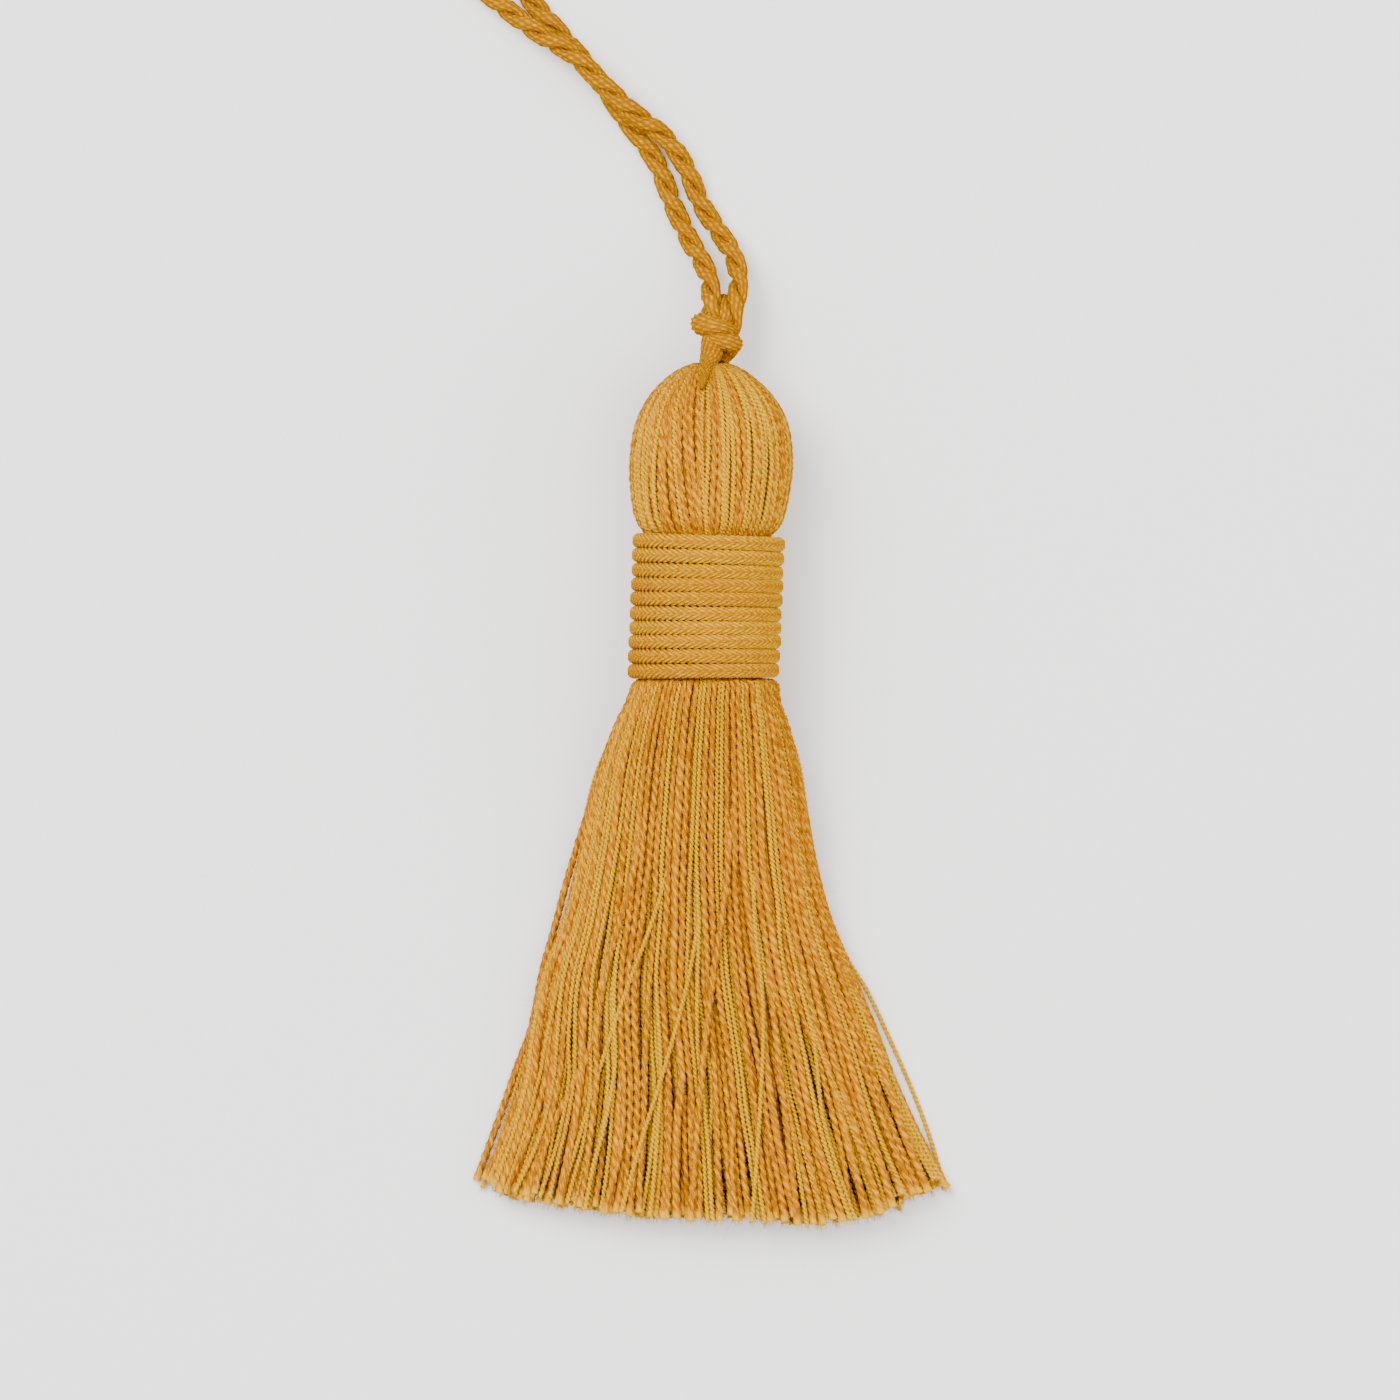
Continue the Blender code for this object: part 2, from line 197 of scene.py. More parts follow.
# Distance between the levels at which sheets are laid, and the heights of the first two over the neck's end
SECTION_STEP = 2.2
ROOTS = (1.4, -0.5)
OUTLINE_POINTS = 181
# Squareness of a section above its middle: that of an ellipse, and a share of the squareness below
UPPER_SQUARENESS = (2.0, 0.08)
# How near two yarns may lie, as a share of their radii, and how much of a sheet's width they may fill
PRESSED = 0.9
SHEET_FILL = 0.96
SPACING_ROUNDS = 30
# How far the lower sheets rise into the gaps over them, and how much less the sheets narrow with depth
GAP_RISE = 0.4
NARROWING = 0.6
LOWER_NARROWING = 0.8
# Yarns lie loosely this far below the neck, and come loose quickly at first
LOOSE_BELOW = 40.0
LOOSENING = 0.55
# Waves in which the yarns sway together, each sheet's turned from the one over it
SKIRT_SPAN = 52.0
WAVE_TURN = 2.4
WAVES = [
    # width of a wave across the skirt, length down it, reach, start
    (1.9, 29.0, 0.16, 1.0),
    (2.9, 37.0, 0.30, 0.4),
    (4.3, 51.0, 0.38, 2.1),
    (7.1, 63.0, 0.42, 4.0),
]
# How far each yarn sways and sinks on its own, and the lengths in which it does
OWN_SWAY = 0.13
OWN_SINKING = 0.14
SWAY_LENGTHS = (2.2, 4.8)
SINKING_LENGTHS = (4.0, 9.0)
# Thickness of the yarns, of strays and riders, from the cut end up, and from the skirt's middle to the neck
THICKNESSES = (0.86, 1.08)
LOOSE_THICKNESS = 0.95
END_SWELL = ([0.0, 0.5, 1.5], [1.18, 1.06, 1.0])
NECK_PRESS = ([-6.0, 7.3], [1.0, 0.84])
# Yarns that stand a little off the sides of the skirt
STRAYS = [
    # kind, then x, y, z down the yarn
    ("a", [(-7.4, 7.3, 8.0), (-9.3, 4.0, 6.4), (-11.1, -1.0, 4.6), (-13.1, -7.1, 2.8), (-14.5, -11.8, 1.7),
           (-15.6, -16.0, 1.1), (-16.8, -20.3, 0.8), (-17.9, -25.9, 0.6), (-19.4, -30.0, 0.5),
           (-20.9, -34.3, 0.4), (-22.3, -38.2, 0.4), (-23.4, -41.2, 0.4)]),
    ("g", [(-7.2, 7.3, 7.0), (-9.3, 4.0, 5.6), (-11.4, -0.5, 3.6), (-12.9, -6.5, 2.0), (-14.4, -12.0, 1.1),
           (-15.6, -16.5, 0.7), (-17.2, -22.0, 0.6), (-18.6, -29.0, 0.6), (-20.7, -36.0, 0.6),
           (-22.8, -42.0, 0.6)]),
    ("g", [(6.6, 7.3, 7.0), (8.8, 0.9, 4.6), (9.9, -6.0, 3.0), (11.4, -13.0, 1.7), (13.5, -18.5, 1.0),
           (15.7, -22.2, 0.7), (18.1, -27.3, 0.5), (20.2, -32.1, 0.4), (21.8, -36.3, 0.4),
           (23.2, -40.8, 0.4)]),
    ("g", [(12.6, -33.0, 1.6), (14.4, -37.5, 1.1), (16.0, -41.8, 0.7), (17.1, -44.7, 0.5)]),
    ("g", [(14.2, -33.0, 1.4), (16.6, -38.5, 0.9), (18.2, -42.0, 0.5), (19.1, -44.2, 0.4)]),
]
# Yarns that come up between the others and cross over them
RIDERS = [
    # kind, then x, y down the yarn
    ("g", [(-3.6, -8.0), (-5.7, -15.0), (-8.4, -22.2), (-11.2, -30.5), (-13.5, -38.2), (-15.4, -43.7)]),
    ("g", [(-0.9, -14.0), (-2.4, -22.0), (-4.5, -29.7), (-6.8, -37.0), (-8.9, -44.4)]),
    ("a", [(2.2, -3.5), (1.5, -12.5), (0.1, -22.2), (-0.9, -31.6), (-2.0, -45.2)]),
    ("g", [(4.6, -6.0), (4.4, -14.0), (5.3, -24.0), (5.0, -34.0), (4.2, -45.4)]),
    ("a", [(5.2, -13.0), (6.3, -24.0), (7.3, -32.8), (8.1, -39.4), (8.8, -45.6)]),
    ("a", [(-6.6, -2.0), (-7.6, -10.0), (-10.4, -20.0), (-12.0, -28.0), (-15.9, -36.0), (-18.4, -43.2)]),
    ("g", [(7.6, -16.0), (10.3, -26.0), (14.2, -36.0), (17.0, -44.4)]),
]
# Height of their first point and of the others over the bundle's outline
RIDER_START = -0.9
RIDER_HEIGHT = 0.12

# Loose fibres: fuzz on the soft yarns and frayed cut ends, all kept above the surface
HAIR = {"radius": 0.016, "lay": 5.0, "sides": 3, "cleft": 0.0}
HAIR_UP = (0.3, 0.2, 0.93)
HAIR_FLOOR = 0.03
FUZZ = 1300
# Where along a yarn fuzz starts, as a share of its length, and how it crowds towards the foot
FUZZ_PLACES = (0.25, 1.0)
FUZZ_CROWDING = 0.8
FUZZ_DOWN = 0.4
FUZZ_LIFT = 0.7
FUZZ_REACH = (0.7, 1.9)
FUZZ_ROOT = 0.45
FUZZ_CURL = 0.55
FUZZ_POINTS = 6
FUZZ_TAPER = (1.0, 0.4)
FRAY_A_YARN = 6
FRAY_REACH = (0.25, 0.7)
FRAY_ROOT = -0.25
FRAY_SPREAD = 0.28
# How much of a cut end the fibres start in, as a share of its radius, and less of it along and up
FRAY_WITHIN = 0.9
FRAY_SHAPE = (1.0, 0.1, 0.8)
FRAY_POINTS = 4
FRAY_TAPER = (1.2, 0.5)

# Hanging cord: one rope of two strands from the knot round the loop and back. Each strand is a ring of
# plies, with short stitches along them.
TWO_STRANDS = {"count": 2, "offset": 0.5, "radial": 0.54, "tangential": 0.82, "plies": 8}
ONE_STRAND = {"count": 1, "offset": 0.0, "radial": 1.02, "tangential": 0.94, "plies": 13}
CORD_LAY = 6.4
PLY_LAY = 5.0
PLY_GROOVE = 0.16
STITCH = 0.75
STITCH_GROOVE = 0.07
# Painted shade in the stitches' dips, as a share of that in the grooves
STITCH_SHADE = 0.7
ROPE_TINT = 0.5
STRAND_TINT = 0.2
ROPE_SPACING = 0.15
CORD_ROUTE = [
    # x, y, z
    (0.05, 45.95, 6.35),
    (0.1, 47.1, 5.65),
    (0.0, 48.5, 4.7),
    (-0.4, 49.9, 3.7),
    (-1.1, 51.3, 2.75),
    (-1.95, 52.75, 1.95),
    (-2.8, 54.5, 1.35),
    (-3.7, 56.5, 1.1),
    (-4.4, 58.4, 1.1),
    (-5.2, 60.4, 1.1),
    (-6.6, 62.6, 1.1),
    (-8.6, 65.2, 1.1),
    (-11.1, 68.9, 1.1),
    (-13.8, 72.2, 1.1),
    (-16.3, 75.1, 1.1),
    (-18.7, 78.0, 1.1),
    (-20.4, 81.4, 1.1),
    (-21.7, 86.5, 1.1),
    (-23.9, 92.3, 1.1),
    (-26.9, 97.4, 1.1),
    (-32.3, 100.6, 1.1),
    (-38.6, 100.4, 1.1),
    (-42.8, 96.6, 1.1),
    (-43.4, 91.0, 1.1),
    (-40.3, 86.3, 1.1),
    (-35.2, 83.7, 1.1),
    (-29.6, 82.3, 1.1),
    (-25.0, 79.9, 1.2),
    (-21.4, 76.9, 1.8),
    (-17.5, 73.9, 2.7),
    (-13.6, 71.4, 3.4),
    (-11.1, 68.9, 3.45),
    (-8.0, 66.0, 3.2),
    (-4.6, 63.3, 2.3),
    (-2.4, 60.2, 1.45),
    (-1.0, 56.8, 1.15),
    (0.6, 54.2, 1.45),
    (1.85, 52.3, 2.2),
    (2.6, 50.6, 3.2),
    (2.85, 48.9, 4.3),
    (2.7, 47.2, 5.35),
    (2.35, 45.6, 6.2),
]

# Stretches of the cord inside the knot, before its route and after it
CORD_START = [(0.5, 43.4, 6.6), (0.35, 44.6, 6.4)]
CORD_END = [(2.2, 44.4, 6.3), (1.9, 43.4, 6.6)]

# Knot: two wraps, then the cord drawn in above them, and the shank with its end over the crown of the head
WRAPS = 2
KNOT_ROPES = [
    # x, y, z, size
    [(0.6, 44.1, 4.9, 0.9), (-0.5, 44.4, 5.4, 1.15), (-0.8, 44.45, 6.5, 1.28), (-0.35, 44.4, 7.5, 1.2),
     (0.6, 44.25, 8.1, 1.0), (1.7, 44.0, 7.7, 0.78), (2.2, 43.9, 6.6, 0.62), (1.8, 43.95, 5.4, 0.7),
     (0.7, 44.1, 4.9, 0.85)],
    [(-0.2, 43.2, 7.3, 0.6), (0.3, 43.05, 7.9, 0.75), (1.1, 42.8, 8.2, 0.9), (2.0, 42.65, 7.6, 1.0),
     (2.35, 42.55, 6.7, 1.0), (2.1, 42.0, 5.8, 0.9), (1.7, 41.4, 5.5, 0.75), (1.2, 40.6, 5.9, 0.6)],
    [(1.35, 47.2, 4.4, 0.5), (1.4, 46.4, 5.3, 0.8), (1.45, 45.2, 6.2, 1.0), (1.1, 43.8, 6.7, 0.9)],
    [(0.4, 44.2, 6.8, 1.0), (0.3, 43.2, 7.3, 1.15), (0.2, 42.0, 7.7, 1.2), (0.0, 41.1, 8.3, 1.15),
     (-0.3, 40.4, 9.6, 0.8), (-0.5, 39.6, 11.3, 0.6), (-0.7, 38.7, 12.8, 0.42), (-0.85, 37.9, 13.7, 0.2)],
]

# Finishes
GLOSS_TINT = (1.0, 0.7, 0.2, 1.0)
FIBRE_RELIEF = 0.14
FIBRE_STRETCH = 6.0
FIBRE_RANGE = (0.54, 0.43)
PATCH_SCALE = 160.0
PATCH_STRETCH = (1.0, 0.35, 1.0)
PATCH_RANGE = (0.42, 0.72)
YARN_COLOURS = {
    # darker colour of the fibre streaks and of the painted shade between plies, plain, light, cut end
    "soft": [(0.31, 0.088, 0.0), (0.70, 0.284, 0.0), (0.76, 0.35, 0.0), (0.74, 0.40, 0.02)],
    "shiny": [(0.38, 0.12, 0.0), (0.92, 0.465, 0.0), (1.0, 0.59, 0.0), (0.84, 0.50, 0.03)],
    "cord": [(0.28, 0.085, 0.0), (0.72, 0.33, 0.0), (0.82, 0.43, 0.0), (0.7, 0.48, 0.1)],
}
FINISHES = [
    # name, colours, roughness, gloss, lustre, width of a fibre, streaks, how strongly painted shade darkens
    # the grooves
    ("soft yarn", "soft", 0.8, 0.0, 0.0, 0.22, 0.9, 0.8),
    ("shiny yarn", "shiny", 0.38, 0.1, 0.25, 0.06, 0.45, 0.6),
    ("braided cord", "cord", 0.75, 0.0, 0.0, 0.08, 0.7, 0.95),
    ("twisted cord", "cord", 0.75, 0.0, 0.0, 0.1, 0.75, 0.95),
]
FLOOR_COLOURS = [(0.93, 0.93, 0.925), (0.95, 0.95, 0.945)]
FLOOR_REACH = 3.0

# Light
LIGHTS = [
    # name, place in metres, width in metres, power in watts
    ("key", (-0.55, 0.5, 1.1), 0.8, 24.5),
    ("fill", (0.8, -0.2, 1.0), 1.2, 13.0),
    ("overhead", (0.0, 0.0, 1.6), 1.5, 22.0),
]
WORLD_STRENGTH = 0.55


def even_course(points, spacing):
    """Evenly spaced points on a smooth curve through the given ones."""
    points = np.array(points, float)
    padded = np.vstack([2 * points[0] - points[1], points, 2 * points[-1] - points[-2]])
    t = np.linspace(0, 1, COURSE_STEPS, endpoint=False)[:, None]
    fine = []
    for p0, p1, p2, p3 in zip(padded, padded[1:], padded[2:], padded[3:]):
        slope = (p2 - p0) * t
        bend = (2 * p0 - 5 * p1 + 4 * p2 - p3) * t**2
        twist = (3 * p1 - p0 - 3 * p2 + p3) * t**3
        fine.append(p1 + (slope + bend + twist) / 2)
    fine = np.vstack([*fine, points[-1]])
    length = lengths(fine)
    places = np.linspace(0, length[-1], max(2, round(length[-1] / spacing) + 1))
    return np.stack([np.interp(places, length, column) for column in fine.T], axis=1)


def lengths(path):
    """Distance along the path at each of its points."""
    return np.concatenate([[0], np.cumsum(np.linalg.norm(np.diff(path, axis=0), axis=1))])


def unit(vectors):
    return vectors / np.linalg.norm(vectors, axis=-1, keepdims=True)


def frames(path, up):
    """Unit vectors up from the path and to its side, at each of its points."""
    ahead = unit(np.gradient(path, axis=0))
    side = unit(np.cross(np.broadcast_to(up, path.shape), ahead))
    return np.cross(ahead, side), side


class Tubes:
    """Tubes gathered into one mesh, with each yarn's own values kept on its points.

    The values are the yarn's tint, how deep a point lies between plies, which sets the painted shade there,
    and how near it is to a cut end.
    """

    def __init__(self):
        self.points, self.values, self.faces, self.uvs = [], [], [], []
        self.total = 0
        self.triangles = 0

    def add_rings(self, rings, values, around, along):
        """One tube from its rings of points. around and along are its own coordinates in mm."""
        count, sides = rings.shape[:2]
        place = np.arange(count * sides).reshape(count, sides) + self.total
        following = np.roll(place, -1, axis=1)
        quads = np.stack([place[:-1], place[1:], following[1:], following[:-1]], axis=-1)
        self.faces += quads.reshape(-1, 4).tolist()
        here = np.stack([around[:, :-1], along[:, :-1]], axis=-1)
        beside = np.stack([around[:, 1:], along[:, 1:]], axis=-1)
        corners = np.stack([here[:-1], here[1:], beside[1:], beside[:-1]], axis=-2)
        self.uvs.append(corners.reshape(-1, 2))
        for ring, order in ((0, 1), (-1, -1)):
            self.faces.append(place[ring][::order].tolist())
            self.uvs.append(here[ring][::order])
        self.points.append(rings.reshape(-1, 3))
        self.values.append(values.reshape(-1, 3))
        self.total += count * sides
        self.triangles += 2 * (count - 1) * sides + 2 * (sides - 2)

    def add_yarn(self, path, up, kind, tint, phase, taper, cut=False, plain=False):
        """A two-ply yarn whose points follow its plies, or a plain one. taper is its thickness along it."""
        sides = HIDDEN_SIDES if plain else kind["sides"]
        along = lengths(path)
        above, side = frames(path, up)
        place = TURN * (np.arange(sides) + 0.5) / sides
        cleft = 0.0 if plain else kind["cleft"]
        plies = cleft * np.abs(np.cos(place)) + np.sqrt((1 - cleft) ** 2 - (cleft * np.sin(place)) ** 2)
        radius = kind["radius"] * taper
        angle = place[None] + (TURN * along / kind["lay"] + phase)[:, None]
        reach = radius[:, None] * plies[None]
        rings = path[:, None] + reach[..., None] * (
            np.cos(angle)[..., None] * above[:, None] + np.sin(angle)[..., None] * side[:, None]
        )
        near_end = np.clip(1 - (along[-1] - along) / CUT_REACH, 0, 1) if cut else np.zeros(len(path))
        values = np.empty((len(path), sides, 3))
        values[..., 0] = tint
        # Painted shade between the plies: strongest in the cleft, none on plain yarns
        values[..., 1] = (1 - plies) / max(1 - plies.min(), 1e-6) * (0 if plain else 1)
        values[..., 2] = near_end[:, None]
        turned = np.concatenate([angle, angle[:, :1] + TURN], axis=1)
        down = np.repeat(along[:, None], sides + 1, axis=1) + YARN_SHIFT * tint
        self.add_rings(rings, values, turned * kind["radius"] - FIBRE_SLANT * down, down)

    def make(self, name, finish, slot):
        """The gathered tubes as one smooth object that rides on the part, none of it below the surface."""
        mesh = bpy.data.meshes.new(name)
        points = np.vstack(self.points)
        points[:, 2] = np.maximum(points[:, 2], 0.0)
        mesh.from_pydata((MM * points).tolist(), [], self.faces)
        layer = mesh.uv_layers.new(name="yarn")
        layer.data.foreach_set("uv", np.vstack(self.uvs).astype(np.float32).ravel())
        kept = mesh.attributes.new("yarn_values", "FLOAT_VECTOR", "POINT")
        kept.data.foreach_set("vector", np.vstack(self.values).astype(np.float32).ravel())
        mesh.shade_smooth()
        mesh.materials.append(finish)
        made = bpy.data.objects.new(name, mesh)
        bpy.context.scene.collection.objects.link(made)
        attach(made, "root")
        return made


# Materials


def add_node(tree, kind, **settings):
    made = tree.nodes.new(kind)
    for name, value in settings.items():
        setattr(made, name, value)
    return made


def link(tree, source, target):
    tree.links.new(source, target)


def mixed(tree, share, first, second):
    """A colour mix whose share and colours are sockets or plain values."""
    made = add_node(tree, "ShaderNodeMix", data_type="RGBA")
    for socket, value in ((made.inputs[0], share), (made.inputs[6], first), (made.inputs[7], second)):
        if hasattr(value, "is_output"):
            link(tree, value, socket)
        elif isinstance(value, tuple):
            socket.default_value = (*value, 1.0)
        else:
            socket.default_value = value
    return made.outputs[2]


def ramp(tree, source, low, high):
    """The source carried from its range low to high onto 0 to 1."""
    made = add_node(tree, "ShaderNodeMapRange")
    made.inputs["From Min"].default_value = low
    made.inputs["From Max"].default_value = high
    link(tree, source, made.inputs["Value"])
    return made.outputs["Result"]


def noise(tree, vector, scale, stretch=(1.0, 1.0, 1.0), detail=3.0):
    """Noise over a vector that is first stretched."""
    placed = add_node(tree, "ShaderNodeMapping")
    placed.inputs["Scale"].default_value = stretch
    link(tree, vector, placed.inputs["Vector"])
    made = add_node(tree, "ShaderNodeTexNoise")
    made.inputs["Scale"].default_value = scale
    made.inputs["Detail"].default_value = detail
    link(tree, placed.outputs["Vector"], made.inputs["Vector"])
    return made.outputs["Fac"]


def yarn_finish(name, colours, roughness, gloss, lustre, fibre, streaks, groove_shade_share):
    """Spun yarn: two tones from yarn to yarn, streaks along the fibres, and painted shade: the darker colour
    mixed in between plies.
    """
    streak_and_groove_shade, plain, light, cut = YARN_COLOURS[colours]
    made = bpy.data.materials.new(name)
    made.use_nodes = True
    tree = made.node_tree
    shader = tree.nodes["Principled BSDF"]
    shader.inputs["Roughness"].default_value = roughness
    shader.inputs["Specular IOR Level"].default_value = gloss
    shader.inputs["Metallic"].default_value = lustre
    shader.inputs["Specular Tint"].default_value = GLOSS_TINT

    values = add_node(tree, "ShaderNodeAttribute", attribute_name="yarn_values")
    parts = add_node(tree, "ShaderNodeSeparateXYZ")
    link(tree, values.outputs["Vector"], parts.inputs["Vector"])
    yarn = add_node(tree, "ShaderNodeUVMap", uv_map="yarn")
    place = add_node(tree, "ShaderNodeTexCoord")

    fibres = noise(tree, yarn.outputs["UV"], 1.0, (1 / fibre, 1 / (fibre * FIBRE_STRETCH), 1.0), 2.0)
    patches = noise(tree, place.outputs["Object"], PATCH_SCALE, PATCH_STRETCH, 2.0)
    tone = mixed(tree, parts.outputs["X"], plain, light)
    tone = mixed(tree, ramp(tree, patches, *PATCH_RANGE), tone, light)
    streak = add_node(tree, "ShaderNodeMath", operation="MULTIPLY")
    streak.inputs[1].default_value = streaks
    link(tree, ramp(tree, fibres, *FIBRE_RANGE), streak.inputs[0])
    tone = mixed(tree, streak.outputs[0], tone, streak_and_groove_shade)
    # Painted shade: the darker colour mixed in where a point lies between plies, in the braid's valleys and
    # in the rope's grooves and stitch dips
    groove = add_node(tree, "ShaderNodeMath", operation="MULTIPLY")
    groove.inputs[1].default_value = groove_shade_share
    link(tree, parts.outputs["Y"], groove.inputs[0])
    tone = mixed(tree, groove.outputs[0], tone, streak_and_groove_shade)
    tone = mixed(tree, parts.outputs["Z"], tone, cut)
    link(tree, tone, shader.inputs["Base Color"])

    bump = add_node(tree, "ShaderNodeBump")
    bump.inputs["Strength"].default_value = 1.0
    bump.inputs["Distance"].default_value = FIBRE_RELIEF * MM
    link(tree, fibres, bump.inputs["Height"])
    link(tree, bump.outputs["Normal"], shader.inputs["Normal"])
    return made


def floor_finish():
    made = bpy.data.materials.new("pale floor")
    made.use_nodes = True
    tree = made.node_tree
    shader = tree.nodes["Principled BSDF"]
    shader.inputs["Roughness"].default_value = 0.9
    place = add_node(tree, "ShaderNodeTexCoord")
    mottle = noise(tree, place.outputs["Object"], 3.0)
    link(tree, mixed(tree, mottle, *FLOOR_COLOURS), shader.inputs["Base Color"])
    return made


# Camera, floor and light


def add_camera():
    """The camera over the middle of the view, its lens as long as the view's width asks."""
    data = bpy.data.cameras.new("camera")
    data.sensor_width = SENSOR_WIDTH
    data.lens = SENSOR_WIDTH * VIEW_DISTANCE / VIEW_WIDTH
    data.clip_end = 10.0
    camera = bpy.data.objects.new("camera", data)
    camera.location = (MM * VIEW_CENTRE[0], MM * VIEW_CENTRE[1], MM * (VIEW_LEVEL + VIEW_DISTANCE))
    bpy.context.scene.collection.objects.link(camera)
    bpy.context.scene.camera = camera


def add_floor():
    mesh = bpy.data.meshes.new("floor")
    corners = [(-1, -1), (1, -1), (1, 1), (-1, 1)]
    mesh.from_pydata([(FLOOR_REACH * x, FLOOR_REACH * y, 0) for x, y in corners], [], [(0, 1, 2, 3)])
    mesh.materials.append(floor_finish())
    floor = bpy.data.objects.new("floor", mesh)
    bpy.context.scene.collection.objects.link(floor)


def add_lights():
    for name, place, width, power in LIGHTS:
        data = bpy.data.lights.new(name, "AREA")
        data.size = width
        data.energy = power
        light = bpy.data.objects.new(name, data)
        light.location = place
        aim = -np.array(place)
        light.rotation_euler = (
            math.acos(-aim[2] / np.linalg.norm(aim)),
            0.0,
            math.atan2(aim[1], aim[0]) - math.pi / 2,
        )
        bpy.context.scene.collection.objects.link(light)
    world = bpy.data.worlds.new("studio")
    world.use_nodes = True
    world.node_tree.nodes["Background"].inputs["Color"].default_value = (1.0, 1.0, 1.0, 1.0)
    world.node_tree.nodes["Background"].inputs["Strength"].default_value = WORLD_STRENGTH
    bpy.context.scene.world = world


# Ropes


def add_rope(tubes, route, strands=TWO_STRANDS, up=UPWARDS):
    """Strands laid round each other along a route of x, y, z and size. Returns its middle line."""
    course = even_course(route, ROPE_SPACING)
    path, size = course[:, :3], course[:, 3]
    along = lengths(path)
    above, side = frames(path, up)
    turned = TURN / CORD_LAY * np.cumsum(np.gradient(along) / size)
    sides = 2 * strands["plies"]
    place = TURN * np.arange(sides) / sides
    ply = np.arange(sides) // 2
    groove = np.arange(sides) % 2
    stitch = 0.5 - 0.5 * np.cos(TURN * (along[:, None] / STITCH + 0.5 * (ply % 2)[None]))
    ridge = 1 - PLY_GROOVE * groove[None] - STITCH_GROOVE * stitch * (1 - groove[None])
    # Painted shade: full in the grooves between plies, less in the stitches' dips
    shade = np.maximum(groove[None], STITCH_SHADE * stitch)
    for strand in range(strands["count"]):
        angle = turned + math.pi * strand
        out = np.cos(angle)[:, None] * above + np.sin(angle)[:, None] * side
        beside = np.cos(angle)[:, None] * side - np.sin(angle)[:, None] * above
        turn = place[None] - (turned * CORD_LAY / PLY_LAY)[:, None]
        reach = size[:, None] * ridge
        radial = (reach * strands["radial"] * np.cos(turn))[..., None] * out[:, None]
        tangential = (reach * strands["tangential"] * np.sin(turn))[..., None] * beside[:, None]
        rings = (path + (size * strands["offset"])[:, None] * out)[:, None] + radial + tangential
        values = np.empty((len(path), sides, 3))
        values[..., 0] = ROPE_TINT + STRAND_TINT * strand
        values[..., 1] = shade
        values[..., 2] = 0.0
        wide = np.concatenate([turn, turn[:, :1] + TURN], axis=1) * strands["tangential"]
        down = np.repeat(along[:, None], sides + 1, axis=1) + STRAND_SHIFT * strand
        tubes.add_rings(rings, values, wide, down)
    return path


def build_cord(finish):
    tubes = Tubes()
    route = [(*point, 1.0) for point in CORD_START + CORD_ROUTE + CORD_END]
    path = add_rope(tubes, route)
    rope = tubes.make("hanging_rope", finish, "hanging_cord")
    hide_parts("cord_loop")


def build_knot(finish):
    tubes = Tubes()
    for number, route in enumerate(KNOT_ROPES):
        add_rope(tubes, route, ONE_STRAND, ALONG if number < WRAPS else UPWARDS)
    knot = tubes.make("rope_knot", finish, "hanging_cord")
    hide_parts("knot")


# Binding


def neck_centre(y):
    """X of the tassel's axis, which leans a little in the neck."""
    return AXIS_X_TOP - AXIS_LEAN * (BINDING_TOP - y)


def winding(distance):
    """Points of the binding cord's middle line, and the way out from the neck at each.

    The cord crosses the top of the neck level with its turn and steps to the next turn underneath.
    """
    radius = BINDING_RADIUS - BINDING_CORD / 2
    angle = distance / radius - math.pi / 2
    uneven = sum(share * np.sin(distance / length) for length, share in TURN_WAVES)
    turn = np.floor((angle + math.pi / 2) / TURN)
    part = (angle + math.pi / 2) / TURN - turn
    step = np.clip((part - 1 + STEP_SHARE) / STEP_SHARE, 0, 1)
    step = step * step * (3 - 2 * step)
    level = (turn + step + 0.5) / TURNS
    level = np.clip(level, 0.5 / TURNS, 1 - 0.5 / TURNS)
    tilt = TILT_TOP + (TILT_BOTTOM - TILT_TOP) * level
    across = radius * np.cos(angle)
    y = BINDING_TOP + (BINDING_BOTTOM - BINDING_TOP) * level - tilt * across
    y = y + TURN_STRAYING * uneven
    across = across + TURN_STRAYING * uneven * np.cos(angle)
    points = np.stack([neck_centre(y) + across, y, AXIS_HEIGHT + radius * np.sin(angle)], axis=-1)
    out = np.stack([np.cos(angle), np.zeros_like(angle), np.sin(angle)], axis=-1)
    return points, out


def build_binding(finish):
    """The cord's rings are bent to the braid's chevrons, so that its ridges lie along them."""
    radius = BRAID_WIDTH / 2
    whole = TURN * TURNS * (BINDING_RADIUS - BINDING_CORD / 2)
    rings = np.arange(BRAID_REACH, whole - BRAID_REACH, BRAID_PITCH / BRAID_RINGS)
    place = TURN * np.arange(BRAID_SIDES) / BRAID_SIDES
    zigzag = np.abs((place / math.pi * 2 + 1) % 2 - 1)
    distance = rings[:, None] + BRAID_REACH * (zigzag[None] - 0.5)
    points, out = winding(distance)
    crest = np.abs(np.cos(math.pi * rings / BRAID_PITCH))[:, None]
    seam = np.where(np.isclose(zigzag, np.round(zigzag)), BRAID_SEAM, 1.0)[None]
    height = crest * seam
    reach = radius - BRAID_RELIEF * (1 - height)
    across = np.array(ALONG)
    shape = points + reach[..., None] * (
        np.cos(place)[None, :, None] * out + np.sin(place)[None, :, None] * across
    )
    values = np.zeros((*shape.shape[:2], 3))
    values[..., 0] = 0.5 + 0.5 * np.sin(distance / BRAID_TINT_LENGTH)
    # Painted shade in the braid's valleys between its ridges and at its seams
    values[..., 1] = 1 - height
    around = np.concatenate([place, [TURN]])[None] * radius + np.zeros((len(rings), 1))
    along = np.concatenate([distance, distance[:, :1]], axis=1)
    tubes = Tubes()
    tubes.add_rings(shape, values, around, along)
    binding = tubes.make("braided_binding", finish, "binding_cord")
    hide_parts("binding")


# Head


def head_section(row, depth):
    """Middle, reach and axis height of the head's outline, drawn in by a depth."""
    y, left, right, height = row
    return (left + right) / 2, y, (right - left) / 2 - depth, height


